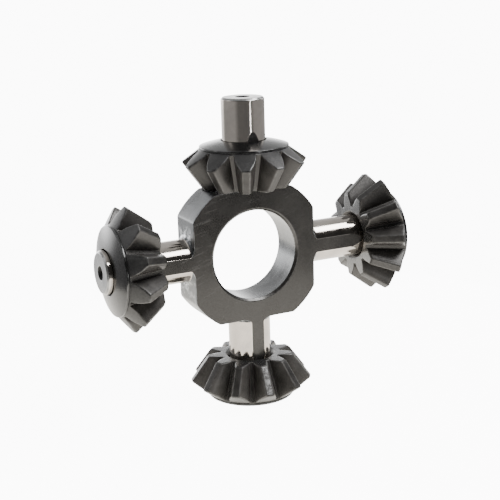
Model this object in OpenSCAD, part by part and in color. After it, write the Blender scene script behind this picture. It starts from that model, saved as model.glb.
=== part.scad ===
// Differential spider assembly: one cross, four straight bevel pinions and
// four spherical thrust washers. The origin is the centre of the cross. The
// trunnions lie along X and Z and the bore of the ring lies along Y. Each
// pinion is drawn where it rests along its trunnion, apex side inwards.

/* [Cross] */
// Diameter of the four ground trunnions
trunnion_d = 28; // [27:0.5:28.5]
// Distance over the ends of two opposite trunnions
cross_span = 202.8; // [196:0.2:214]
// Width of the ring across its four flats
ring_flats = 86.2; // [84:0.2:87]
// Diameter of the ring over its rounded corners
ring_d = 101.6; // [98:0.2:108]
// Thickness of the ring, and of each trunnion over its two oil flats
ring_t = 26.4; // [25:0.1:26.8]
// Diameter of the bore of the ring
bore_d = 59; // [52:0.5:62]
// Chamfer at both edges of the bore
bore_chamfer = 1.5; // [0.5:0.1:2]
// Radius of the fillet where a trunnion leaves the ring
root_fillet = 3; // [1:0.5:3]
// Distance from the centre at which the oil flats end
flat_end = 80.5; // [76:0.5:84]
// Length over which an oil flat runs out to the full diameter
flat_runout = 7; // [4:0.5:10]
// Chamfer at the end of each trunnion
end_chamfer = 1.2; // [0.5:0.1:2]

/* [Centre holes] */
// Diameter of the pilot hole in each trunnion end
pilot_d = 5; // [3:0.5:6]
// Depth of the pilot hole
pilot_depth = 10; // [6:0.5:14]
// Diameter of the 60 degree countersink at the end face
countersink_d = 9.5; // [7:0.5:12]

/* [Pinion] */
// Number of teeth on each pinion
teeth = 11; // [10:1:12]
// Radial running clearance between a pinion and its trunnion
bore_clearance = 0.05; // [0.02:0.01:0.1]
// Chamfer at the toe end of the pinion bore, which clears the root fillet
pinion_chamfer = 2.4; // [2.2:0.1:3]
// Radius over the tooth tips at the toe, the small end
toe_tip_r = 28.6; // [27:0.1:30]
// Radius over the tooth tips at the heel, the large end
heel_tip_r = 40.9; // [39:0.1:42]
// Distance of the heel tips behind the toe face
heel_tip_z = 16.7; // [15:0.1:18]
// Radius of the tooth roots at the toe
toe_root_r = 20.2; // [19:0.1:22]
// Radius of the tooth roots at the heel
heel_root_r = 28.9; // [28:0.1:29.5]
// Distance of the heel roots behind the toe face
heel_root_z = 23.2; // [22:0.1:24]
// Width of a tooth's top land at the toe
tip_land_toe = 3.6; // [3:0.1:5]
// Width of a tooth's top land at the heel
tip_land_heel = 3.6; // [3:0.1:5]
// Width of the root land between teeth at the toe
root_land_toe = 2.6; // [1.5:0.1:3]
// Width of the root land between teeth at the heel
root_land_heel = 3.4; // [3:0.1:5]
// How full the tooth flanks are: 1 is straight, more is rounder
flank_fullness = 1.6; // [1:0.05:2]

/* [Thrust washer] */
// Outer radius of the washer and of the seat under it
washer_r = 29; // [28:0.1:30]
// Radius of the washer's hole
washer_hole_r = 14.9; // [14.5:0.1:16]
// Thickness of the washer
washer_t = 1.6; // [1:0.1:2]
// Radius of the ball that the seat and the washer follow
seat_r = 92; // [80:1:110]
// Distance of the seat's edge behind the toe face
seat_edge_z = 25.5; // [25:0.1:27]

/* [Places] */
// Toe face of the top pinion, from the centre of the cross
toe_top = 43.5; // [43.5:0.1:80]
// Toe face of the bottom pinion, from the centre of the cross
toe_bottom = 70.7; // [43.5:0.1:80]
// Toe face of the left pinion, from the centre of the cross
toe_left = 67; // [43.5:0.1:80]
// Toe face of the right pinion, from the centre of the cross
toe_right = 80; // [43.5:0.1:80]
// Turn of the top pinion about its trunnion, degrees
turn_top = -8.1; // [-16:0.1:16]
// Turn of the bottom pinion about its trunnion, degrees
turn_bottom = -8.4; // [-16:0.1:16]
// Turn of the left pinion about its trunnion, degrees
turn_left = 3.4; // [-16:0.1:16]
// Turn of the right pinion about its trunnion, degrees
turn_right = 11.5; // [-16:0.1:16]

/* [Hidden] */
$fn = 96;
eps = 0.01;
// Larger than any cut that it has to clear
clear = 60;
trunnion_r = trunnion_d / 2;
reach = cross_span / 2;
pinion_bore_r = trunnion_r + bore_clearance;
pitch = 360 / teeth;
// Depth of an oil flat below the trunnion's surface
flat_depth = trunnion_r - ring_t / 2;
flat_start = flat_end - flat_runout;
countersink_depth = (countersink_d - pilot_d) / 2 * sqrt(3);
// Centre of the seat's ball, measured from the toe face
seat_centre_z = seat_edge_z - sqrt(seat_r * seat_r - washer_r * washer_r);
// Gap left between the seat and the washer, so that their balls never bite
seat_gap = 0.05;
// Sections along a tooth gap: 0 is the toe, 1 is the heel
gap_sections = [-0.2, 0.15, 0.5, 0.85, 1.25];
// Steps up each flank of a tooth gap
flank_steps = 6;

// Arm directions, as turns about Y from the upright trunnion
UP = 0;
DOWN = 180;
LEFT = -90;
RIGHT = 90;

function mix(a, b, t) = a + (b - a) * t;

module trunnion_blank() {
    cylinder(r = trunnion_r, h = reach - end_chamfer);
    translate([0, 0, reach - end_chamfer])
        cylinder(r1 = trunnion_r, r2 = trunnion_r - end_chamfer, h = end_chamfer);
    translate([0, 0, ring_flats / 2])
        rotate_extrude()
            difference() {
                translate([0, -1]) square([trunnion_r + root_fillet, root_fillet + 1]);
                translate([trunnion_r + root_fillet, root_fillet]) circle(r = root_fillet);
            }
}

// Everything cut from one face of a trunnion to make its oil flat
module oil_flat_cut() {
    translate([-clear / 2, ring_t / 2, -1])
        cube([clear, clear, flat_start + 1]);
    translate([0, ring_t / 2, flat_start])
        rotate([-atan(flat_depth / flat_runout), 0, 0])
            translate([-clear / 2, 0, -1]) cube([clear, clear, clear]);
}

module centre_hole_cut() {
    translate([0, 0, reach - pilot_depth])
        cylinder(r = pilot_d / 2, h = pilot_depth + 1, $fn = 48);
    translate([0, 0, reach - countersink_depth])
        cylinder(r1 = pilot_d / 2, r2 = countersink_d / 2, h = countersink_depth + eps, $fn = 48);
}

module trunnion() {
    difference() {
        trunnion_blank();
        oil_flat_cut();
        mirror([0, 1, 0]) oil_flat_cut();
        centre_hole_cut();
    }
}

module ring_blank() {
    intersection() {
        rotate([90, 0, 0]) cylinder(d = ring_d, h = ring_t, center = true);
        cube([ring_flats, ring_t, ring_flats], center = true);
    }
}

module ring_bore_cut() {
    rotate([90, 0, 0]) cylinder(d = bore_d, h = ring_t * 2, center = true);
    for (side = [0, 180])
        rotate([90, 0, side])
            translate([0, 0, ring_t / 2 - bore_chamfer])
                cylinder(r1 = bore_d / 2, r2 = bore_d / 2 + bore_chamfer + eps, h = bore_chamfer + eps);
}

module spider() {
    color("dimgray")
        difference() {
            union() {
                ring_blank();
                for (turn = [UP, DOWN, LEFT, RIGHT]) rotate([0, turn, 0]) trunnion();
            }
            ring_bore_cut();
        }
}

// One flank of a tooth gap at section q, from the root land up to the tip
function flank(q) =
    let (tip_r = mix(toe_tip_r, heel_tip_r, q),
        root_r = mix(toe_root_r, heel_root_r, q),
        tip_z = heel_tip_z * q,
        root_z = heel_root_z * q,
        half_root = mix(root_land_toe, root_land_heel, q) / 2,
        half_land = mix(tip_land_toe, tip_land_heel, q) / 2,
        half_gap = tip_r * sin(pitch / 2 - asin(half_land / tip_r)))
    [for (i = [0 : flank_steps])
        let (t = i / flank_steps)
        [mix(half_root, half_gap, pow(t, flank_fullness)), mix(root_r, tip_r, t), mix(root_z, tip_z, t)]];

// The closed outline of a gap: down one flank, up the other, and well past the tips
function gap_outline(q) =
    let (side = flank(q),
        step = side[flank_steps] - side[0],
        out = side[flank_steps] + step)
    concat([for (i = [flank_steps : -1 : 0]) [-side[i][0], side[i][1], side[i][2]]],
        side, [out, [-out[0], out[1], out[2]]]);

module tooth_gap() {
    loops = [for (q = gap_sections) gap_outline(q)];
    n = len(loops[0]);
    last = (len(loops) - 1) * n;
    polyhedron(
        points = [for (loop = loops) each loop],
        faces = concat(
            [[for (i = [0 : n - 1]) i]],
            [for (j = [0 : n : last - n]) for (i = [0 : n - 1])
                [j + n + i, j + n + (i + 1) % n, j + (i + 1) % n, j + i]],
            [[for (i = [n - 1 : -1 : 0]) last + i]]),
        convexity = 4);
}

module pinion_blank() {
    intersection() {
        rotate_extrude()
            polygon([[0, 0], [toe_tip_r, 0], [heel_tip_r, heel_tip_z],
                [washer_r, seat_edge_z], [washer_r, clear], [0, clear]]);
        translate([0, 0, seat_centre_z]) sphere(r = seat_r, $fn = 200);
    }
}

module pinion() {
    color("darkslategray")
        difference() {
            pinion_blank();
            for (i = [0 : teeth - 1]) rotate([0, 0, (i + 0.5) * pitch]) tooth_gap();
            translate([0, 0, -1]) cylinder(r = pinion_bore_r, h = clear);
            translate([0, 0, -eps])
                cylinder(r1 = pinion_bore_r + pinion_chamfer + eps, r2 = pinion_bore_r, h = pinion_chamfer + eps);
        }
}

module thrust_washer() {
    color("slategray")
        difference() {
            intersection() {
                translate([0, 0, seat_centre_z]) sphere(r = seat_r + washer_t, $fn = 200);
                cylinder(r = washer_r, h = clear);
            }
            translate([0, 0, seat_centre_z]) sphere(r = seat_r + seat_gap, $fn = 200);
            cylinder(r = washer_hole_r, h = clear);
        }
}

// Sets a piece on one trunnion with its toe side towards the cross
module on_arm(arm, toe, turn = 0) {
    rotate([0, arm, 0]) translate([0, 0, toe]) rotate([0, 0, turn]) children();
}

spider();
on_arm(UP, toe_top, turn_top) pinion();  // pinion_top
on_arm(DOWN, toe_bottom, turn_bottom) pinion();  // pinion_bottom
on_arm(LEFT, toe_left, turn_left) pinion();  // pinion_left
on_arm(RIGHT, toe_right, turn_right) pinion();  // pinion_right
on_arm(UP, toe_top) thrust_washer();  // washer_top
on_arm(DOWN, toe_bottom) thrust_washer();  // washer_bottom
on_arm(LEFT, toe_left) thrust_washer();  // washer_left
on_arm(RIGHT, toe_right) thrust_washer();  // washer_right
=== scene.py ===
from math import acos, asin, atan2, cos, hypot, pi, radians, sin, sqrt

import bmesh
import bpy
import numpy as np
from mathutils import Matrix, Vector


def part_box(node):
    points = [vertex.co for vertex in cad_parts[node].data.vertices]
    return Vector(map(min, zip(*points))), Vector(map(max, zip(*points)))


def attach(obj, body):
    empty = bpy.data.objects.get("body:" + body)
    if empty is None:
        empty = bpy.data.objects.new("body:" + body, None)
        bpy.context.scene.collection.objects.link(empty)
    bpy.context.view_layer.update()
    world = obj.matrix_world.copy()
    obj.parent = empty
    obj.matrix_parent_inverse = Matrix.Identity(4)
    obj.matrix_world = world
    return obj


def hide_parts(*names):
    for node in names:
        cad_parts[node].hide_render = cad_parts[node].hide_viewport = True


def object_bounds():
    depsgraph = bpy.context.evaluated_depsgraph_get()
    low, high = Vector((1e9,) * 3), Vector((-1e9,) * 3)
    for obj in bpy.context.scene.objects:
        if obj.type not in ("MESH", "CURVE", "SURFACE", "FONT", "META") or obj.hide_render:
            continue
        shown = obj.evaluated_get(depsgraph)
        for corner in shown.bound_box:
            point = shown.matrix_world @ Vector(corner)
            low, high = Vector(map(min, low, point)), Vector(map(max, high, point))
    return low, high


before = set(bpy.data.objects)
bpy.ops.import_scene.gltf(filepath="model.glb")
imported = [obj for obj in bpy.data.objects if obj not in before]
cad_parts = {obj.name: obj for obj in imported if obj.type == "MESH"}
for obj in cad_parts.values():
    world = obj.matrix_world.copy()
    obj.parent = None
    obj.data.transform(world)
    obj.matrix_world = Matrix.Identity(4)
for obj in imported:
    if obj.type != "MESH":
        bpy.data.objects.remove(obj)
cad_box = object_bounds()

# Lengths are in millimetres until a mesh is made. The CAD model's box gives
# the reach of the trunnions; the rest are the sizes of its details.
MM = 0.001
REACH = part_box("spider")[1].z / MM
HALF_T = 13.2
TRUNNION_R = 14.0
RING_FLAT = 43.1
RING_CORNER_R = 50.8
BORE_R = 29.5
BORE_CHAMFER = 1.5
ROOT_FILLET = 3.0
FLAT_END = 80.5
FLAT_RUNOUT = 7.0
FLAT_START = FLAT_END - FLAT_RUNOUT
END_CHAMFER = 1.2
PILOT_R = 2.5
PILOT_DEPTH = 10.0
COUNTERSINK_R = 4.75

TEETH = 11
PITCH = 2 * pi / TEETH
PINION_BORE_R = 14.05
PINION_CHAMFER = 2.4
TOE_TIP_R, HEEL_TIP_R, HEEL_TIP_Z = 28.6, 40.9, 16.7
TOE_ROOT_R, HEEL_ROOT_R, HEEL_ROOT_Z = 20.2, 28.9, 23.2
TIP_LAND = (3.6, 3.6)
ROOT_LAND = (2.6, 3.4)
FLANK_FULLNESS = 1.6

WASHER_R = 29.0
WASHER_HOLE_R = 14.9
WASHER_T = 1.6
SEAT_R = 92.0
SEAT_EDGE_Z = 25.5
SEAT_CENTRE_Z = SEAT_EDGE_Z - sqrt(SEAT_R**2 - WASHER_R**2)
SEAT_GAP = 0.05

# Each arm: its turn about Y from the upright trunnion, and its pinion's turn
# about the trunnion, in degrees
ARMS = {"top": (0, -8.1), "bottom": (180, -8.4), "left": (-90, 3.4), "right": (90, 11.5)}

# Points nearer than this, in metres, are welded into one
WELD = 0.000002


# ---------------------------------------------------------------- mesh tools

def mix(a, b, t):
    return a + (b - a) * t


def unit(v):
    return v / np.linalg.norm(v, axis=-1, keepdims=True)


def bend(a, corner, b, t):
    """The point at t on the curve that rounds a corner, from a to b."""
    return (1 - t) ** 2 * a + 2 * t * (1 - t) * corner + t * t * b


def blend_corner(a, corner, b, steps=4):
    """The points that round a corner, from a to b, both included."""
    return bend(a, corner, b, np.linspace(0, 1, steps + 1)[:, None])


def rounded(path, reach, steps=3):
    """A path with its inner corners rounded from reach before each, and how worn each point is."""
    path = np.array(path, float)
    points, wear = [path[0]], [0.0]
    for before, corner, after in zip(path, path[1:], path[2:]):
        a = corner + unit(before - corner) * reach
        b = corner + unit(after - corner) * reach
        points.extend(blend_corner(a, corner, b, steps))
        wear.extend([0.3] + [1.0] * (steps - 1) + [0.3])
    return np.array(points + [path[-1]]), np.array(wear + [0.0])


def bisect(f, low, high):
    """The place between low and high where f changes sign."""
    rising = f(high) > 0
    for _ in range(40):
        middle = (low + high) / 2
        if (f(middle) > 0) == rising:
            high = middle
        else:
            low = middle
    return (low + high) / 2


class Shell:
    """Grids of points that make up a repeating part of a surface."""

    def __init__(self):
        self.points, self.faces, self.slots, self.wear, self.turned = [], [], [], [], []

    def grid(self, points, slots, wear, turned):
        """Adds rows and columns of points. turned holds each one's radius and place along its axis."""
        rows, columns = points.shape[:2]
        start = sum(len(p) for p in self.points)
        self.points.append(points.reshape(-1, 3))
        self.wear.append(np.broadcast_to(wear, (rows, columns)).reshape(-1))
        self.turned.append(turned.reshape(-1, 2))
        slots = np.broadcast_to(slots, (rows - 1, columns - 1))
        for i in range(rows - 1):
            for j in range(columns - 1):
                a = start + i * columns + j
                self.faces.append((a, a + 1, a + columns + 1, a + columns))
                self.slots.append(int(slots[i, j]))

    def mesh(self, name, copies, place=np.eye(4)):
        """One closed mesh: every copy of the grids, put in place and welded."""
        base = np.concatenate(self.points)
        made = bpy.data.meshes.new(name)
        points, faces = [], []
        for turn in copies:
            faces.extend(tuple(v + len(points) * len(base) for v in f) for f in self.faces)
            points.append(base @ turn.T)
        points = np.concatenate(points) @ place[:3, :3].T + place[:3, 3]
        made.from_pydata((points * MM).tolist(), [], faces)
        made.polygons.foreach_set("material_index", self.slots * len(copies))
        made.attributes.new("wear", "FLOAT", "POINT").data.foreach_set(
            "value", np.tile(np.concatenate(self.wear), len(copies)))
        turned = np.concatenate(self.turned)
        turned = np.column_stack([turned, np.zeros(len(turned))])
        made.attributes.new("turned", "FLOAT_VECTOR", "POINT").data.foreach_set(
            "vector", np.tile(turned, (len(copies), 1)).ravel() * MM)
        bm = bmesh.new()
        bm.from_mesh(made)
        bmesh.ops.remove_doubles(bm, verts=bm.verts, dist=WELD)
        bmesh.ops.recalc_face_normals(bm, faces=bm.faces)
        for face in bm.faces:
            face.smooth = True
        bm.to_mesh(made)
        bm.free()
        return made


def add_piece(name, mesh, materials, body, node):
    """Puts a mesh in the scene for a CAD node, riding on that node's body."""
    piece = bpy.data.objects.new(name, mesh)
    bpy.context.scene.collection.objects.link(piece)
    for material in materials:
        mesh.materials.append(material)
    normals = piece.modifiers.new("flat faces stay flat", "WEIGHTED_NORMAL")
    normals.weight = 80
    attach(piece, body)
    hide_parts(node)


def turn_about(axis, degrees):
    return np.array(Matrix.Rotation(radians(degrees), 3, axis))


# --------------------------------------------------------------------- cross

# How far the edges of the flat faces are rounded
EDGE = 0.35
# How far that rounding goes down the side of a trunnion, as a share of EDGE
SHALLOW = 0.334
# How far the corner between the ring's flat and its round is rounded
WALL_ROUND = 1.2
# The angle round the root fillet, in radians, at which the grinding of the trunnion starts
GROUND_FROM = 1.3
# A section's points go along the flat, round its edge and down the side
FLAT_POINTS = 4
EDGE_STEPS = 4
SIDE_STEPS = 14
SIDE_START = FLAT_POINTS + EDGE_STEPS - 1
# Sections over the length in which a flat runs out
RUNOUT_ROWS = 9
FACE, WALL, GROUND, BORE, END, SHADED_HOLE = range(6)


def section(radius, flat_y, edge_fall):
    """A quarter of a trunnion's section, from the middle of the flat round to the side."""
    corner_x = sqrt(max(radius**2 - flat_y**2, 0))
    corner = np.array([corner_x, -flat_y])
    start = np.array([max(corner_x - EDGE, 0), -flat_y])
    angle = asin(min((flat_y - edge_fall) / radius, 1))
    side = np.array([[radius * cos(a), -radius * sin(a)] for a in np.linspace(angle, 0, SIDE_STEPS)])
    flat = np.linspace([0, -flat_y], start, FLAT_POINTS)
    return np.concatenate([flat, blend_corner(start, corner, side[0], EDGE_STEPS)[1:], side[1:]])


def wall_columns():
    """The ring's outer wall, as columns from the diagonal to just past the corner of a flat."""
    corner_angle = acos(RING_FLAT / RING_CORNER_R)
    arc = [(RING_CORNER_R * sin(a), RING_CORNER_R * cos(a)) for a in np.linspace(pi / 4, corner_angle, 7)]
    corner = np.array([sqrt(RING_CORNER_R**2 - RING_FLAT**2), RING_FLAT])
    rise = unit(np.array(arc[-2]) - corner)
    rounding = blend_corner(corner + rise * WALL_ROUND, corner, corner - [WALL_ROUND, 0])
    return [np.array(p) for p in arc[:-1]] + list(rounding)


def side_stations():
    """From the ring's diagonal to the end of a flat: the flat's edge, the side below it, its surface."""
    stations = []
    root_r = TRUNNION_R + ROOT_FILLET
    root_x = sqrt(root_r**2 - HALF_T**2)
    root_side = section(root_r, HALF_T, EDGE)[SIDE_START:]
    for x, z in wall_columns():
        stations.append(((x, z), [(x, y, z) for y in root_side[:, 1]], WALL))
    wall_x = stations[-1][0][0]
    for share in (0.25, 0.5, 0.75):
        side = [(mix(wall_x, x, share), y, RING_FLAT) for x, y in root_side]
        stations.append(((mix(wall_x, root_x, share), RING_FLAT), side, WALL))
    for angle in np.linspace(0, pi / 2, 9):
        radius = root_r - ROOT_FILLET * sin(angle)
        z = RING_FLAT + ROOT_FILLET * (1 - cos(angle))
        fall = EDGE * mix(1, SHALLOW, angle / (pi / 2))
        side = [(x, y, z) for x, y in section(radius, HALF_T, fall)[SIDE_START:]]
        surface = WALL if angle < GROUND_FROM else GROUND
        stations.append(((sqrt(radius**2 - HALF_T**2), z), side, surface))
    trunnion_side = section(TRUNNION_R, HALF_T, EDGE * SHALLOW)[SIDE_START:]
    for z in np.linspace(RING_FLAT + ROOT_FILLET, FLAT_START, 7)[1:]:
        side = [(x, y, z) for x, y in trunnion_side]
        stations.append(((sqrt(TRUNNION_R**2 - HALF_T**2), z), side, GROUND))
    edges, sides, surfaces = zip(*stations)
    return np.array(edges), np.array(sides), np.array(surfaces)


def set_in(edges):
    """The outline of the flat face, set in from its edges by EDGE."""
    along = np.gradient(edges, axis=0)
    inward = unit(np.column_stack([along[:, 1], -along[:, 0]]))
    inward *= -np.sign((inward * edges).sum(1, keepdims=True))
    inward[0] = -unit(edges[0])
    inward[-1] = (-1, 0)
    return edges + inward * EDGE


def arm_turned(grid):
    """Radius and place along the upright trunnion, for points near it."""
    return np.stack([np.hypot(grid[..., 0], grid[..., 1]), grid[..., 2]], axis=-1)


def add_sides(shell, outline, edges, sides, surfaces):
    """The worn edge of the flat face, and the wall, fillet and trunnion below it."""
    y = np.full(len(edges), -HALF_T)
    lip = np.stack([outline[:, 0], y, outline[:, 1]], axis=1)
    corner = np.stack([edges[:, 0], y, edges[:, 1]], axis=1)
    worn_edge = np.stack([bend(lip, corner, sides[:, 0], t) for t in (0, 0.25, 0.5, 0.75)])
    rows = np.concatenate([worn_edge, sides.transpose(1, 0, 2)])
    wear = np.zeros(rows.shape[:2])
    wear[1:len(worn_edge)] = 1
    shell.grid(rows, np.tile(surfaces[1:], (len(rows) - 1, 1)), wear, arm_turned(rows))


def add_face_and_bore(shell, outline):
    """The flat face, as rays from its outline to the bore, and the chamfer and half the bore's wall."""
    strip_end = np.linspace(outline[-1], [0, FLAT_START], FLAT_POINTS)[1:]
    outline = np.concatenate([outline, strip_end])
    angles = np.arctan2(outline[:, 0], outline[:, 1])
    far = np.hypot(*outline.T)
    chamfer_r = BORE_R + BORE_CHAMFER
    profile, wear = rounded(
        [(chamfer_r + 1, -HALF_T), (chamfer_r, -HALF_T), (BORE_R, -HALF_T + BORE_CHAMFER), (BORE_R, 0)], 0.3)
    radii = np.stack([mix(far, profile[0, 0], t) for t in (0, 0.3, 0.65, 1)])
    face = np.stack([radii * np.sin(angles), np.full(radii.shape, -HALF_T), radii * np.cos(angles)], axis=2)
    shell.grid(face, FACE, 0, arm_turned(face))
    bore = np.stack([[(r * sin(a), y, r * cos(a)) for a in angles] for r, y in profile])
    turned = np.broadcast_to(profile[:, None], bore.shape[:2] + (2,))
    # the first half of the profile is the face's rim and the chamfer; both take the face's dark finish,
    # which on the chamfer is painted shade that draws it as a dark line
    slots = np.where(np.arange(len(profile) - 1) < len(profile) // 2, FACE, BORE)[:, None]
    shell.grid(bore, slots, wear[:, None], turned)


def add_trunnion_end(shell):
    """The end of a trunnion with its centre hole, from where its flats start to run out."""
    stations = []
    for z in np.linspace(FLAT_START, FLAT_END, RUNOUT_ROWS):
        flat_y = mix(HALF_T, TRUNNION_R, (z - FLAT_START) / FLAT_RUNOUT)
        narrow = sqrt(max(TRUNNION_R**2 - flat_y**2, 0) / (TRUNNION_R**2 - HALF_T**2))
        stations.append([(x, y, z) for x, y in section(TRUNNION_R, flat_y, EDGE * SHALLOW * narrow)])
    sink_depth = (COUNTERSINK_R - PILOT_R) * sqrt(3)
    profile, profile_wear = rounded(
        [(TRUNNION_R, FLAT_END), (TRUNNION_R, REACH - END_CHAMFER), (TRUNNION_R - END_CHAMFER, REACH),
            (COUNTERSINK_R, REACH), (PILOT_R, REACH - sink_depth), (PILOT_R, REACH - PILOT_DEPTH),
            (0, REACH - PILOT_DEPTH)], 0.25)
    for radius, z in profile[1:]:
        radius = max(radius, 1e-4)
        stations.append([(x, y, z) for x, y in section(radius, radius, 0)])
    grid = np.array(stations)
    radii = np.concatenate([np.full(RUNOUT_ROWS, TRUNNION_R), profile[1:, 0]])
    wear = np.concatenate([np.zeros(RUNOUT_ROWS), profile_wear[1:]])[:, None]
    turned = np.stack([np.broadcast_to(radii[:, None], grid.shape[:2]), grid[:, :, 2]], axis=2)
    slots = np.full((len(grid) - 1, grid.shape[1] - 1), GROUND)
    slots[:RUNOUT_ROWS - 1, :FLAT_POINTS - 1] = FACE
    middle = (radii[1:] + radii[:-1]) / 2
    past_flats = np.arange(len(middle)) > RUNOUT_ROWS
    slots[past_flats & (middle < TRUNNION_R - 0.1)] = END
    # the countersink and the pilot hole take a near-black finish: painted shade in the recess
    slots[past_flats & (middle < COUNTERSINK_R)] = SHADED_HOLE
    shell.grid(grid, slots, wear, turned)


def cross_shell():
    """A sixteenth of the cross: half of one side of one arm, from the ring's diagonal."""
    shell = Shell()
    edges, sides, surfaces = side_stations()
    outline = set_in(edges)
    add_sides(shell, outline, edges, sides, surfaces)
    add_face_and_bore(shell, outline)
    add_trunnion_end(shell)
    return shell


def cross_copies():
    """The sixteen turns and mirrorings that make the whole cross."""
    return [turn_about("Y", quarter) @ np.diag([x, y, 1])
        for quarter in (0, 90, 180, 270) for x in (1, -1) for y in (1, -1)]


# -------------------------------------------------------------------- pinion

# How far the ends of the teeth are rounded, at the root and at the tip
TOE_ROUND = (0.7, 1.6)
HEEL_ROUND = (0.6, 1.3)
# How far the edges along a tooth are rounded, at the toe and at the heel
ROOT_ROUND = (0.45, 0.8)
TIP_ROUND = (0.6, 0.75)
# What the rounding of the toe and of the heel may take up: more than the toe needs, and a share of
# the back cone's width at the heel
TOE_ROOM = 9.0
HEEL_ROOM = 0.6
# The least that an edge counts as square to the direction in which it is set in
LEAST_SQUARE = 0.45
# Steps up a flank, and where its rows are as shares of a tooth's length
FLANK_STEPS = 7
ALONG = (0, 0.14, 0.35, 0.58, 0.8, 0.93, 1)
# Radii of the rows on the seat, from its rim to the lip of the bore
SEAT_RADII = (WASHER_R, 28.5, 26, 22, 18, 16)
# Where the flat ring of the toe starts, inside the roots
TOE_RING_R = TOE_ROOT_R - 1.9
# Which tooth of the bottom pinion is rubbed bright
RUBBED_TOOTH = 6
FLANK, LAND, TOE, HEEL, SEAT = range(5)


def tip_cone(z):
    return mix(TOE_TIP_R, HEEL_TIP_R, z / HEEL_TIP_Z)


def back_cone(radius):
    return SEAT_EDGE_Z + (HEEL_TIP_Z - SEAT_EDGE_Z) * (radius - WASHER_R) / (HEEL_TIP_R - WASHER_R)


def gap_point(q, t, across=1.0):
    """A point of a tooth gap, seen from its middle: q from toe to heel, t from root to tip."""
    tip_r = mix(TOE_TIP_R, HEEL_TIP_R, q)
    half_root = mix(*ROOT_LAND, q) / 2
    half_gap = tip_r * sin(PITCH / 2 - asin(mix(*TIP_LAND, q) / 2 / tip_r))
    x = mix(half_root, half_gap, t**FLANK_FULLNESS) * across
    return np.array([x, mix(mix(TOE_ROOT_R, HEEL_ROOT_R, q), tip_r, t), mix(HEEL_ROOT_Z, HEEL_TIP_Z, t) * q])


def tip_reach(q):
    """Where the flank meets the blank's outer cone."""
    def outside(t):
        x, y, z = gap_point(q, t)
        return hypot(x, y) - tip_cone(z)
    return bisect(outside, 0.5, 1.2)


def heel_reach(share, across):
    """Where a line along the flank meets the back cone."""
    def behind(q):
        x, y, z = gap_point(q, share * tip_reach(q), across)
        return z - back_cone(hypot(x, y))
    return bisect(behind, 0.5, 1.3)


def tooth_row(u, shares, ends):
    """The points across half a gap and half the next top land, at a share u of the tooth's length."""
    row = [gap_point(q * u, share * tip_reach(q * u), across) for (share, across), q in zip(shares, ends)]
    tip_angle, z = atan2(row[-1][0], row[-1][1]), row[-1][2]
    for share in (0.5, 1):
        angle = mix(tip_angle, PITCH / 2, share)
        row.append(np.array([tip_cone(z) * sin(angle), tip_cone(z) * cos(angle), z]))
    return row


def tooth_lines():
    """Half a gap's lines from toe to heel: the root, up the flank, and half the top land."""
    shares = [(0, 0.0)] + [(s, 1.0) for s in np.linspace(0, 1, FLANK_STEPS + 1)]
    ends = [heel_reach(share, across) for share, across in shares]
    root, tip = 1, FLANK_STEPS + 1
    rows = []
    for u in ALONG:
        row = tooth_row(u, shares, ends)
        line, wear, kinds = [row[0]], [0.0], [LAND]
        for i in range(1, len(row) - 1):
            if i in (root, tip):
                reach = mix(*(ROOT_ROUND if i == root else TIP_ROUND), u)
                a = row[i] + unit(row[i - 1] - row[i]) * reach
                b = row[i] + unit(row[i + 1] - row[i]) * reach
                line.extend(blend_corner(a, row[i], b))
                wear.extend([0.0] * 5 if i == root else [0.3, 1, 1, 1, 0.3])
                kinds.extend([LAND] + [FLANK] * 4 if i == root else [FLANK] * 5)
            else:
                line.append(row[i])
                wear.append(0.0)
                kinds.append(FLANK if i < tip else LAND)
        line.append(row[-1])
        rows.append(np.array(line))
    return np.array(rows), np.array(wear + [0.0]), np.array(kinds + [LAND])


def graded(ends, radius, inner, outer):
    """A rounding that grows from the root's radius out to the tip's."""
    return mix(*ends, np.clip((radius - inner) / (outer - inner), 0, 1) ** 1.5)


def inset_rows(edge, next_row, ray, amount, room):
    """The rows that round the edge of a toothed outline, from the face inwards of it to the flanks."""
    along = unit(np.gradient(edge, axis=0))
    square = np.linalg.norm(np.cross(along, ray), axis=1)
    square[[0, -1]] = 1
    inward = np.minimum(amount / np.maximum(square, LEAST_SQUARE), room)[:, None]
    face, side = edge + ray * inward, edge + unit(next_row - edge) * amount[:, None]
    return [bend(face, edge, side, t) for t in np.linspace(0, 1, 5)]


def toe_rows(lines):
    """The rounded edge of the toe, from its face to the flanks."""
    edge = lines[0]
    amount = graded(TOE_ROUND, np.hypot(edge[:, 0], edge[:, 1]), TOE_ROOT_R, TOE_TIP_R)
    return inset_rows(edge, lines[1], unit(edge * [-1, -1, 0]), amount, np.full(len(edge), TOE_ROOM))


def heel_rows(lines):
    """The rounded edge of the heel, from the flanks to the back cone."""
    edge = lines[-1]
    radius = np.hypot(edge[:, 0], edge[:, 1])
    amount = graded(HEEL_ROUND, radius, WASHER_R, HEEL_TIP_R)
    slope = (SEAT_EDGE_Z - HEEL_TIP_Z) / (HEEL_TIP_R - WASHER_R)
    ray = unit(np.column_stack([-edge[:, :2] / radius[:, None], np.full(len(edge), slope)]))
    room = (radius - WASHER_R) * sqrt(1 + slope**2) * HEEL_ROOM
    return inset_rows(edge, lines[-2], ray, amount, room)[::-1]


def seat_z(radius):
    return SEAT_CENTRE_Z + sqrt(SEAT_R**2 - radius**2)


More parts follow.
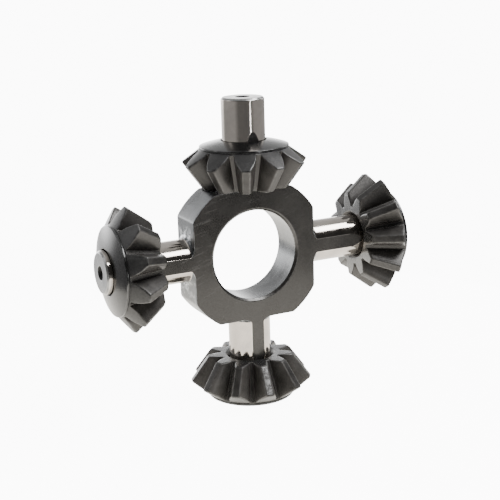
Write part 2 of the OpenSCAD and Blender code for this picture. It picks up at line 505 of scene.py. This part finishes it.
def pinion_shell():
    """Half a tooth gap, from the bore over the toe, along the teeth, and over the heel to the seat."""
    lines, tip_wear, kinds = tooth_lines()
    columns = lines.shape[1]
    toe_angle = np.arctan2(lines[0][:, 0], lines[0][:, 1])
    heel_angle = np.arctan2(lines[-1][:, 0], lines[-1][:, 1])
    rows, wear, zones = [], [], []

    def ring(radius, z, angle):
        return np.stack([radius * np.sin(angle), radius * np.cos(angle), np.full(columns, z)], axis=1)

    def add(points, zone, worn=0.0):
        """Adds a row. Without a zone, its faces are flanks and lands as kinds says."""
        rows.append(points)
        wear.append(np.broadcast_to(worn, columns))
        zones.append(zone)

    lip_r = SEAT_RADII[-1]
    bore, bore_wear = rounded(
        [(lip_r, seat_z(lip_r)), (PINION_BORE_R, seat_z(PINION_BORE_R)), (PINION_BORE_R, PINION_CHAMFER),
            (PINION_BORE_R + PINION_CHAMFER, 0), (TOE_RING_R, 0)], 0.3)
    for (radius, z), worn in zip(bore, bore_wear):
        angle = mix(toe_angle, heel_angle, min(z / SEAT_EDGE_Z, 1))
        add(ring(radius, z, angle), SEAT if z > 0.01 else TOE, worn)
    for i, points in enumerate(toe_rows(lines)):
        add(points, TOE if i < 1 else None, 0.35 if 0 < i < 4 else 0.1)
    for points in lines[1:-1]:
        add(points, None, tip_wear)
    for i, points in enumerate(heel_rows(lines)):
        add(points, HEEL if i > 1 else None, 1.0 if 0 < i < 4 else 0.2)
    for radius in SEAT_RADII:
        add(ring(radius, seat_z(radius), heel_angle), SEAT)
    grid = np.array(rows)
    slots = np.zeros((len(rows) - 1, columns - 1), int)
    for i, zone in enumerate(zones[:-1]):
        slots[i] = kinds[1:] if zone is None else zone
    shell = Shell()
    shell.grid(grid, slots, np.array(wear), arm_turned(grid))
    return shell


def rub_tooth(mesh, place, tooth):
    """Marks the top land of one tooth as rubbed bright."""
    points = np.empty(len(mesh.vertices) * 3)
    mesh.vertices.foreach_get("co", points)
    x, y, z = ((points.reshape(-1, 3) / MM - place[:3, 3]) @ place[:3, :3]).T
    on_top = np.abs(np.hypot(x, y) - tip_cone(z)) < 0.1
    nearest = np.round(np.arctan2(-x, y) / PITCH) % TEETH
    rubbed = (on_top & (nearest == tooth)).astype(float)
    mesh.attributes.new("rubbed", "FLOAT", "POINT").data.foreach_set("value", rubbed)


def pinion_copies():
    """A gap's two halves, at every gap."""
    return [turn_about("Z", (i + 0.5) * 360 / TEETH) @ np.diag([x, 1, 1])
        for i in range(TEETH) for x in (1, -1)]


# -------------------------------------------------------------------- washer

WASHER_COLUMNS = 16
# Radii between which the washer is its plain dome; its edges are rounded beyond them
DOME_IN, DOME_OUT = 15.7, 27.9


def washer_shell():
    """An eighth of a washer."""
    outer, inner = SEAT_R + WASHER_T, SEAT_R + SEAT_GAP
    radii = np.linspace(WASHER_HOLE_R, WASHER_R, 9)

    def dome(ball, radius):
        return (radius, SEAT_CENTRE_Z + sqrt(ball**2 - radius**2))

    rim = [dome(outer, DOME_OUT), dome(outer, WASHER_R), dome(inner, WASHER_R), dome(inner, DOME_OUT)]
    hole = [dome(inner, DOME_IN), dome(inner, WASHER_HOLE_R),
        dome(outer, WASHER_HOLE_R), dome(outer, DOME_IN)]
    rim, rim_wear = rounded(rim, 0.45)
    hole, hole_wear = rounded(hole, 0.35)
    top = [dome(outer, r) for r in radii[1:-1]]
    under = [dome(inner, r) for r in radii[-2:0:-1]]
    profile = np.concatenate([top, rim, under, hole, top[:1]])
    wear = np.concatenate([np.zeros(len(top)), rim_wear, np.zeros(len(under)), hole_wear, [0]])
    angles = np.linspace(0, pi / 4, WASHER_COLUMNS)
    grid = np.stack([[(r * sin(a), r * cos(a), z) for a in angles] for r, z in profile])
    turned = np.broadcast_to(profile[:, None], grid.shape[:2] + (2,))
    shell = Shell()
    shell.grid(grid, 0, wear[:, None], turned)
    return shell


def washer_copies():
    return [turn_about("Z", 45 * i) for i in range(8)]


# ----------------------------------------------------------------- materials

# How fine the grain of all the steel is, as a noise scale in metres
GRAIN = 1400
SCRATCH_DEPTH = 0.00002
FLAKE_DEPTH = 0.00008
OIL_ROUGHNESS = 0.16


class Nodes:
    """Short names for building the nodes of a material or a world."""

    def __init__(self, owner, shader="Principled BSDF"):
        owner.use_nodes = True
        self.owner = owner
        self.tree = owner.node_tree
        self.shader = self.tree.nodes[shader]

    def node(self, kind, **inputs):
        made = self.tree.nodes.new(kind)
        for key, value in inputs.items():
            self.put(value, made.inputs[key])
        return made

    def put(self, value, socket):
        if isinstance(value, bpy.types.NodeSocket):
            self.tree.links.new(value, socket)
        else:
            socket.default_value = value

    def noise(self, vector, scale, detail=3.0, roughness=0.55, distortion=0.0):
        made = self.node("ShaderNodeTexNoise", Vector=vector, Scale=scale, Detail=detail,
            Roughness=roughness, Distortion=distortion)
        return made.outputs["Fac"]

    def split(self, vector):
        made = self.node("ShaderNodeSeparateXYZ", Vector=vector)
        return [made.outputs[axis] for axis in "XYZ"]

    def span(self, value, low, high, to_low=0.0, to_high=1.0):
        made = self.tree.nodes.new("ShaderNodeMapRange")
        self.put(value, made.inputs["Value"])
        for key, number in zip(("From Min", "From Max", "To Min", "To Max"), (low, high, to_low, to_high)):
            made.inputs[key].default_value = number
        return made.outputs["Result"]

    def maths(self, operation, a, b):
        made = self.tree.nodes.new("ShaderNodeMath")
        made.operation = operation
        self.put(a, made.inputs[0])
        self.put(b, made.inputs[1])
        return made.outputs[0]

    def times(self, a, b):
        return self.maths("MULTIPLY", a, b)

    def plus(self, a, b):
        return self.maths("ADD", a, b)

    def colour(self, share, a, b):
        made = self.tree.nodes.new("ShaderNodeMix")
        made.data_type = "RGBA"
        self.put(share, made.inputs[0])
        self.put(a, made.inputs[6])
        self.put(b, made.inputs[7])
        return made.outputs[2]

    def attribute(self, name, output):
        made = self.tree.nodes.new("ShaderNodeAttribute")
        made.attribute_name = name
        return made.outputs[output]

    def bump(self, height, distance, normal=None):
        made = self.node("ShaderNodeBump", Height=height, Distance=distance, Strength=1.0)
        if normal is not None:
            self.put(normal, made.inputs["Normal"])
        return made.outputs["Normal"]


def grey(value, warm=0.0):
    """A grey that leans towards brown, or towards blue where warm is negative."""
    return (value * (1 + warm), value, value * (1 - warm), 1)


def turning_lines(n, turned, spacing):
    """Fine lines left by turning, boring or grinding, even along the radius and the axis."""
    stretched = n.node("ShaderNodeMapping", Vector=turned, Scale=(spacing, spacing, 1))
    return n.noise(stretched.outputs["Vector"], 1.0, 4, 0.7)


def scratch_marks(n, place):
    """Slanting scratches, most of them at the upper left of the ring."""
    slanted = n.node("ShaderNodeMapping", Vector=place, Rotation=(0, radians(-14), 0),
        Scale=(1 / 50, 1 / 50, 1 / 340))
    slanted.vector_type = "TEXTURE"
    streaks = n.noise(slanted.outputs["Vector"], 1.0, 6, 0.7, 0.4)
    x, _, z = n.split(place)
    upper_left = n.maths("SUBTRACT", z, x)
    return n.times(n.span(streaks, 0.56, 0.66), n.span(upper_left, -0.03, 0.06, 0.1, 1))


def flake_spots(n, place, turned):
    """Spots near the root of a trunnion, where the scale of the forging has flaked off."""
    radius, _, _ = n.split(turned)
    near_root = n.times(n.span(radius, 0.03, 0.018), n.span(n.noise(place, 60, 2), 0.5, 0.6))
    return n.times(n.span(n.noise(place, 330, 4, 0.7, 0.5), 0.46, 0.6), near_root)


def metal(name, dark, light, worn, roughness, metallic, patch=45.0, lines=0.0, line_depth=0.0,
        pits=0.00001, scratch=0.0, oil=0.0, flakes=0.0, rubbed=False):
    """
    A steel surface: soft patches from dark to light, fine grain, and bright worn edges. It can have
    turning lines, scratches, flaked spots, a tooth rubbed bright, and a film of oil. roughness is
    that of the dark and of the light patches, patch sets how small they are, and depths are in metres.
    """
    n = Nodes(bpy.data.materials.new(name))
    place = n.tree.nodes.new("ShaderNodeTexCoord").outputs["Object"]
    turned = n.attribute("turned", "Vector")
    patches = n.span(n.noise(place, patch, 5, 0.6, 0.6), 0.34, 0.66)
    grains = n.noise(place, GRAIN, 4, 0.6)
    base = n.colour(patches, dark, light)
    base = n.colour(n.span(grains, 0.3, 0.8, 0, 0.1), base, worn)
    rough = n.plus(n.span(patches, 0, 1, *roughness), n.span(grains, 0.3, 0.7, -0.04, 0.04))
    normal = n.bump(grains, pits)
    if lines:
        ridges = turning_lines(n, turned, lines)
        base = n.colour(n.span(ridges, 0.35, 0.75, 0, 0.12), base, worn)
        rough = n.plus(rough, n.span(ridges, 0.3, 0.7, -0.05, 0.05))
        normal = n.bump(ridges, line_depth, normal)
    if scratch:
        marks = scratch_marks(n, place)
        base = n.colour(n.times(marks, scratch), base, worn)
        normal = n.bump(marks, SCRATCH_DEPTH, normal)
    if flakes:
        spots = flake_spots(n, place, turned)
        base = n.colour(n.times(spots, flakes), base, worn)
        normal = n.bump(spots, FLAKE_DEPTH, normal)
    edge = n.times(n.attribute("wear", "Fac"), n.span(n.noise(place, 260, 3), 0.35, 0.6))
    base = n.colour(n.times(edge, 0.35), base, worn)
    if rubbed:
        uneven = n.span(n.noise(place, 420, 5, 0.7), 0.4, 0.55)
        bright = n.times(n.attribute("rubbed", "Fac"), uneven)
        base = n.colour(n.times(bright, 0.4), base, grey(0.4))
        rough = n.maths("SUBTRACT", rough, n.times(bright, 0.12))
    n.put(base, n.shader.inputs["Base Color"])
    n.put(rough, n.shader.inputs["Roughness"])
    n.put(normal, n.shader.inputs["Normal"])
    n.shader.inputs["Metallic"].default_value = metallic
    n.shader.inputs["Coat Weight"].default_value = oil
    n.shader.inputs["Coat Roughness"].default_value = OIL_ROUGHNESS
    return n.owner


def cross_materials():
    face = metal("oiled_forging", grey(0.018, 0.1), grey(0.036, 0.07), grey(0.18), (0.26, 0.42), 0.7,
        patch=26, pits=0.000003, scratch=0.22, oil=0.4)
    wall = metal("scaled_forging", grey(0.045, -0.05), grey(0.13, -0.05), grey(0.65, -0.02),
        (0.26, 0.42), 0.85, patch=70, pits=0.00002, oil=0.2, flakes=1.0)
    ground = metal("ground_steel", grey(0.34, 0.09), grey(0.44, 0.1), grey(0.7, 0.04),
        (0.07, 0.12), 1.0, patch=60, lines=6000, line_depth=0.00001, pits=0.000002)
    bore = metal("bored_steel", grey(0.08, -0.02), grey(0.15, -0.03), grey(0.5), (0.18, 0.28), 1.0,
        patch=50, lines=5000, line_depth=0.000004, pits=0.000003)
    end = metal("faced_steel", grey(0.12, 0.01), grey(0.3, 0.01), grey(0.6), (0.2, 0.3), 1.0,
        lines=2600, line_depth=0.000016, pits=0.000003)
    # the centre hole and its countersink are near black: painted shade in the recess
    hole = metal("drilled_steel_painted_shade", grey(0.006), grey(0.02), grey(0.06), (0.5, 0.6), 0.6, lines=4000,
        line_depth=0.00001)
    return [face, wall, ground, bore, end, hole]


def pinion_materials():
    flank = metal("phosphate_flank", grey(0.03, 0.08), grey(0.056, 0.06), grey(0.14), (0.36, 0.48), 0.35,
        patch=80, scratch=0.08, oil=0.1)
    land = metal("phosphate_land", grey(0.026, 0.05), grey(0.05, 0.04), grey(0.2), (0.36, 0.48), 0.7,
        patch=90, pits=0.000008, oil=0.1, rubbed=True)
    toe = metal("faced_toe", grey(0.1, 0.0), grey(0.17, 0.0), grey(0.3), (0.2, 0.28), 0.9,
        patch=60, lines=3000, line_depth=0.000006, oil=0.1)
    heel = metal("turned_heel", grey(0.016, 0.02), grey(0.034, 0.01), grey(0.2), (0.32, 0.44), 0.7,
        patch=75, pits=0.000006, scratch=0.08, oil=0.12)
    seat = metal("bored_pinion", grey(0.03, 0.04), grey(0.07, 0.03), grey(0.25), (0.3, 0.4), 0.9,
        lines=3000, line_depth=0.00001)
    return [flank, land, toe, heel, seat]


def washer_materials():
    return [metal("washer_steel", grey(0.02, 0.0), grey(0.04, 0.0), grey(0.22), (0.17, 0.24), 0.8,
        patch=30, pits=0.000002, oil=0.1)]


# -------------------------------------------------------------------- pieces

add_piece("differential_cross", cross_shell().mesh("differential_cross", cross_copies()),
    cross_materials(), "cross", "spider")

gear, gear_finish = pinion_shell(), pinion_materials()
washer, washer_finish = washer_shell(), washer_materials()
for arm, (direction, turn) in ARMS.items():
    low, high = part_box(f"pinion_{arm}")
    outward = turn_about("Y", direction) @ np.array([0, 0, 1.0])
    toe = min(abs(np.array(low) @ outward), abs(np.array(high) @ outward)) / MM
    stand = np.eye(4)
    stand[:3, :3] = turn_about("Y", direction)
    stand[:3, 3] = outward * toe
    washer_mesh = washer.mesh(f"{arm}_thrust_washer", washer_copies(), stand)
    add_piece(f"{arm}_thrust_washer", washer_mesh, washer_finish, f"{arm}_washer", f"washer_{arm}")
    stand[:3, :3] = stand[:3, :3] @ turn_about("Z", turn)
    gear_mesh = gear.mesh(f"{arm}_bevel_pinion", pinion_copies(), stand)
    if arm == "bottom":
        rub_tooth(gear_mesh, stand, RUBBED_TOOTH)
    add_piece(f"{arm}_bevel_pinion", gear_mesh, gear_finish, f"{arm}_pinion", f"pinion_{arm}")


# -------------------------------------------------------------------- studio

# Radiance of the white surroundings as the camera sees them
WHITE = 11.0
# The camera sees the floor. Just below it, hidden from the camera, lies the light table, which lights
# the steel from below.
FLOOR_R = 0.32
TABLE_DROP = 0.0002
TABLE_LIGHT = 2.4


def make_floor(name, drop, colour, strength, seen):
    """A glowing disc under the part. The camera alone sees it, or everything but the camera does."""
    mesh = bpy.data.meshes.new(name)
    bm = bmesh.new()
    bmesh.ops.create_circle(bm, cap_ends=True, segments=96, radius=FLOOR_R)
    bm.to_mesh(mesh)
    bm.free()
    floor = bpy.data.objects.new(name, mesh)
    floor.location = (0, 0, cad_box[0].z - drop)
    floor.visible_camera = seen
    floor.visible_diffuse = floor.visible_glossy = floor.visible_shadow = not seen
    bpy.context.scene.collection.objects.link(floor)
    n = Nodes(bpy.data.materials.new(name + "_paper"))
    n.shader.inputs["Base Color"].default_value = grey(0.5)
    n.shader.inputs["Roughness"].default_value = 1.0
    n.shader.inputs["Specular IOR Level"].default_value = 0.0
    n.shader.inputs["Emission Color"].default_value = colour
    n.shader.inputs["Emission Strength"].default_value = strength
    mesh.materials.append(n.owner)


def make_world():
    """A room that is dim in front and lighter behind and above, with a bright sweep low behind the part.

    The camera sees it as plain white.
    """
    world = bpy.data.worlds.new("studio")
    bpy.context.scene.world = world
    n = Nodes(world, "Background")
    x, y, z = n.split(n.tree.nodes.new("ShaderNodeTexCoord").outputs["Generated"])
    behind = n.span(y, 0.77, 0.93)
    front = n.times(n.plus(n.times(x, 0.32), y), -0.95)
    low = n.plus(n.span(front, 0.6, 0.85, 0.5, 0.2), n.times(behind, 1.2))
    high = n.plus(n.span(y, -0.4, 0.8, 0.04, 1), n.span(z, 0.7, 0.95, 0, 0.3))
    room = n.colour(n.span(z, -0.1, 0.05), low, high)
    sweep = n.times(behind, n.span(z, 0.36, 0))
    sweep = n.times(sweep, n.span(z, -0.14, -0.04, 0, 6.5))
    light = n.plus(room, sweep)
    seen = n.tree.nodes.new("ShaderNodeLightPath").outputs["Is Camera Ray"]
    n.put(n.colour(seen, light, grey(WHITE)), n.shader.inputs["Color"])


def add_light(name, place, size, power):
    """A rectangular light that faces the middle of the part."""
    data = bpy.data.lights.new(name, "AREA")
    data.shape = "RECTANGLE"
    data.size, data.size_y = size
    data.energy = power
    light = bpy.data.objects.new(name, data)
    light.location = place
    light.rotation_euler = (-Vector(place)).to_track_quat("-Z", "Y").to_euler()
    bpy.context.scene.collection.objects.link(light)


def add_camera():
    """The camera in front, to the left and above, aimed near the part's middle and rolled a little."""
    azimuth, elevation, roll = radians(-25.89), radians(14.71), radians(-1.73)
    distance, aim_x, aim_y = 705.6, -1.94, -0.47
    back = Vector((sin(azimuth) * cos(elevation), -cos(azimuth) * cos(elevation), sin(elevation)))
    right = (-back).cross(Vector((0, 0, 1))).normalized()
    up = right.cross(-back)
    right, up = right * cos(roll) + up * sin(roll), up * cos(roll) - right * sin(roll)
    place = (back * distance - right * aim_x - up * aim_y) * MM
    data = bpy.data.cameras.new("camera")
    data.lens = 77.06
    data.sensor_width = 36
    data.clip_start = 0.01
    camera = bpy.data.objects.new("camera", data)
    axes = Matrix((right, up, back)).transposed().to_4x4()
    camera.matrix_world = Matrix.Translation(place) @ axes
    bpy.context.scene.collection.objects.link(camera)
    bpy.context.scene.camera = camera


# The floor also reflects a little of the lights, so it glows less than the white around it
make_floor("floor", 0, grey(1), WHITE - 0.5, True)
make_floor("light_table", TABLE_DROP, (1, 0.955, 0.86, 1), TABLE_LIGHT, False)
make_world()
add_light("high front", (0.45, -0.33, 0.83), (0.8, 0.28), 13)
add_light("left", (-1.0, 0.3, 0.5), (0.4, 0.6), 1)
add_light("right", (1.0, 0.3, 0.4), (0.4, 0.6), 2)
add_light("strip", (0.14, -0.6, -0.005), (0.02, 0.07), 0.12)
add_camera()
